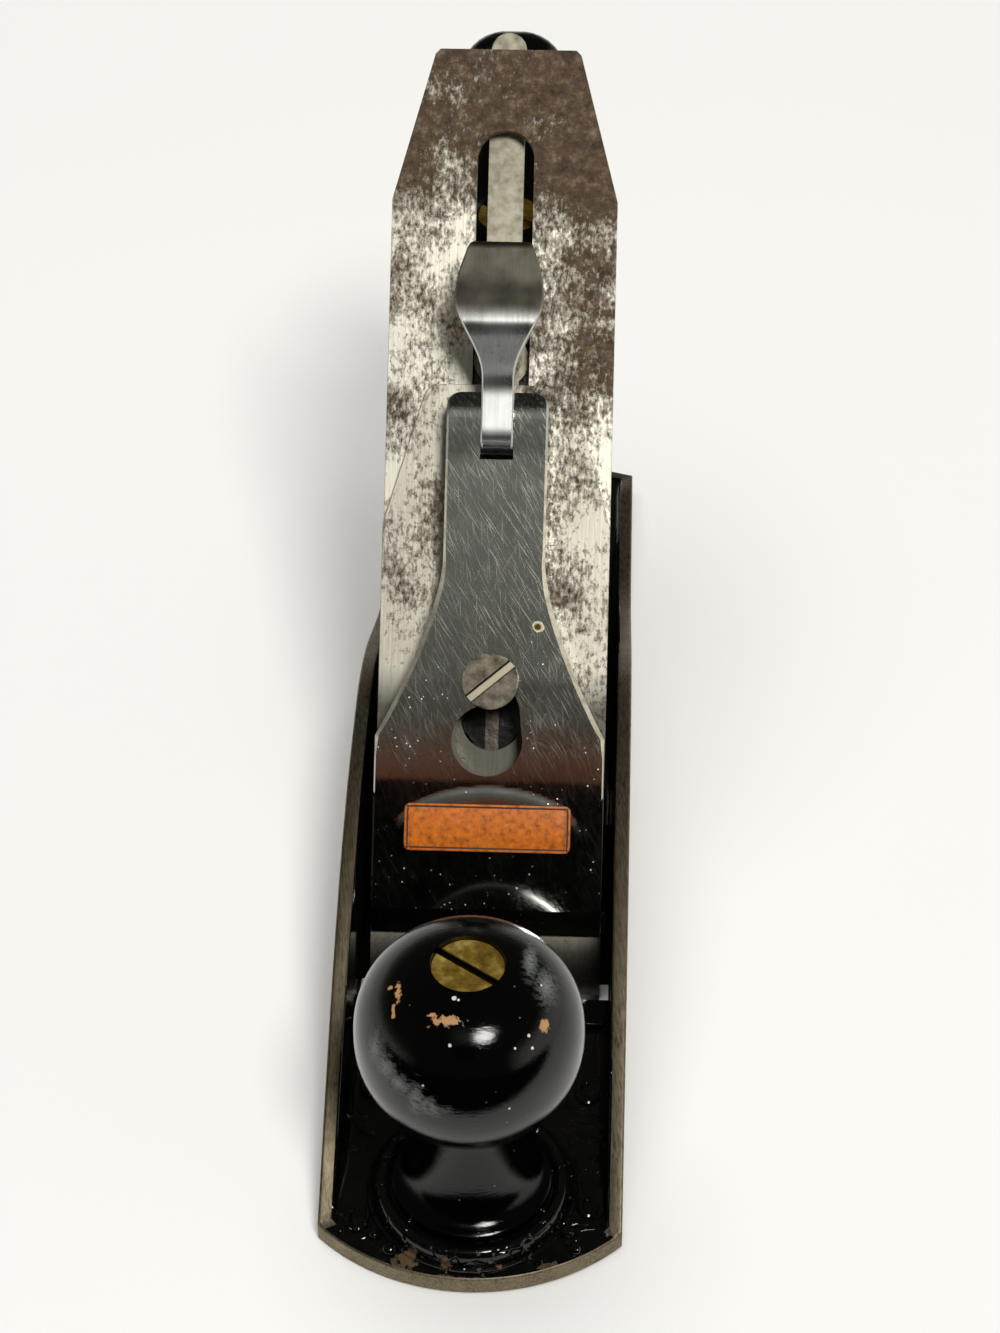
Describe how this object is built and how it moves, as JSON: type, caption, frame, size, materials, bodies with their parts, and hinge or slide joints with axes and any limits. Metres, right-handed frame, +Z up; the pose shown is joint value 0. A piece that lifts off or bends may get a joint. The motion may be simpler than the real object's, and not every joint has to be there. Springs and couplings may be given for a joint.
{
  "type": "smoothing plane",
  "caption": "Iron smoothing bench plane with a 45 degree bevel-down iron, lever cap with cam lever, screw depth adjuster, side lever, turned knob and horned handle.",
  "frame": {"origin": "centre of the sole's underside, on the ground", "axes": "+Z up, toe towards -Y, heel towards +Y, +X to the right seen from the toe's end looking at the heel"},
  "size_m": [0.0544, 0.235, 0.1323],
  "materials": {
    "japanned_iron": "gloss black baked japanning with bare, browned iron on the rims and the sole",
    "black_hardwood": "gloss black lacquer on turned and sawn hardwood, chipped and scuffed",
    "brass": "tarnished turned brass",
    "iron_steel": "ground tool steel with speckled brown rust",
    "nickel_plate": "polished nickel plate with fine scratches and an enamelled panel",
    "plain_steel": "plain turned and stamped steel, dulled"
  },
  "bodies": {
    "body": {"plane_bottom": "japanned_iron", "knob": "black_hardwood", "knob_rod": "plain_steel", "knob_nut": "brass", "tote": "black_hardwood", "tote_rod": "plain_steel", "tote_nut": "brass", "frog_screws": "plain_steel", "frog_washers": "plain_steel"},
    "frog_body": {"frog": "japanned_iron", "frog_clip": "plain_steel", "frog_clip_screw": "plain_steel", "yoke_pin": "plain_steel", "lateral_rivet": "plain_steel", "lever_cap_screw": "plain_steel"},
    "adjusting_screw_body": {"frog_adjusting_screw": "plain_steel"},
    "stud_body": {"adjuster_stud": "plain_steel"},
    "depth_nut_body": {"depth_nut": "brass"},
    "yoke_body": {"yoke_lever": "plain_steel"},
    "side_lever_body": {"lateral_lever": "plain_steel", "lateral_disc": "plain_steel", "lateral_thumb_piece": "plain_steel"},
    "lever_cap_body": {"lever_cap": "nickel_plate", "cam_pin": "plain_steel", "lever_cap_spring": "plain_steel", "spring_rivet": "plain_steel"},
    "cam_lever_body": {"cam_lever": "nickel_plate"},
    "iron_body": {"cutter": "iron_steel", "cap_iron": "iron_steel", "cap_iron_screw": "plain_steel"}
  },
  "joints": [
    {"name": "frog_screw_turn", "type": "hinge", "parent": "frog_body", "child": "adjusting_screw_body", "pos_m": [0, 0.0025, 0.0096], "axis": [0, 1, 0], "range_deg": [-290, 290]},
    {"name": "frog_slide", "type": "slide", "parent": "body", "child": "frog_body", "axis": [0, 1, 0], "range_m": [-0.0008, 0.0008]},
    {"name": "depth_nut_turn", "type": "hinge", "parent": "frog_body", "child": "stud_body", "pos_m": [0, 0.0125, 0.02977], "axis": [0, 1, 0], "range_deg": [-340, 1020]},
    {"name": "depth_nut_travel", "type": "slide", "parent": "stud_body", "child": "depth_nut_body", "axis": [0, 1, 0], "range_m": [-0.00302, 0.00102]},
    {"name": "yoke_swing", "type": "hinge", "parent": "frog_body", "child": "yoke_body", "pos_m": [0, 0.01614, 0.04677], "axis": [1, 0, 0], "range_deg": [-10.2, 3.45]},
    {"name": "iron_depth", "type": "slide", "parent": "lever_cap_body", "child": "iron_body", "axis": [0, -0.7071, -0.7071], "range_m": [-0.00228, 0.00076]},
    {"name": "side_lever_swing", "type": "hinge", "parent": "frog_body", "child": "side_lever_body", "pos_m": [0, 0.044, 0.08538], "axis": [0, -0.7071, 0.7071], "range_deg": [-6, 6]},
    {"name": "iron_tilt", "type": "hinge", "parent": "frog_body", "child": "lever_cap_body", "pos_m": [0, -0.00465, 0.04295], "axis": [0, -0.7071, 0.7071], "range_deg": [-1.4, 1.4]},
    {"name": "cam_lever_swing", "type": "hinge", "parent": "lever_cap_body", "child": "cam_lever_body", "pos_m": [0, 0.02392, 0.08283], "axis": [1, 0, 0], "range_deg": [0, 95]}
  ],
  "couplings": [
    {"joint": "frog_screw_turn", "follows": "frog_slide", "rad_per_m": 6283.2},
    {"joint": "depth_nut_turn", "follows": "iron_depth", "rad_per_m": -7793.6},
    {"joint": "depth_nut_travel", "follows": "iron_depth", "ratio": 1.3127},
    {"joint": "yoke_swing", "follows": "iron_depth", "rad_per_m": 77.22},
    {"joint": "iron_tilt", "follows": "side_lever_swing", "ratio": -0.22901}
  ]
}
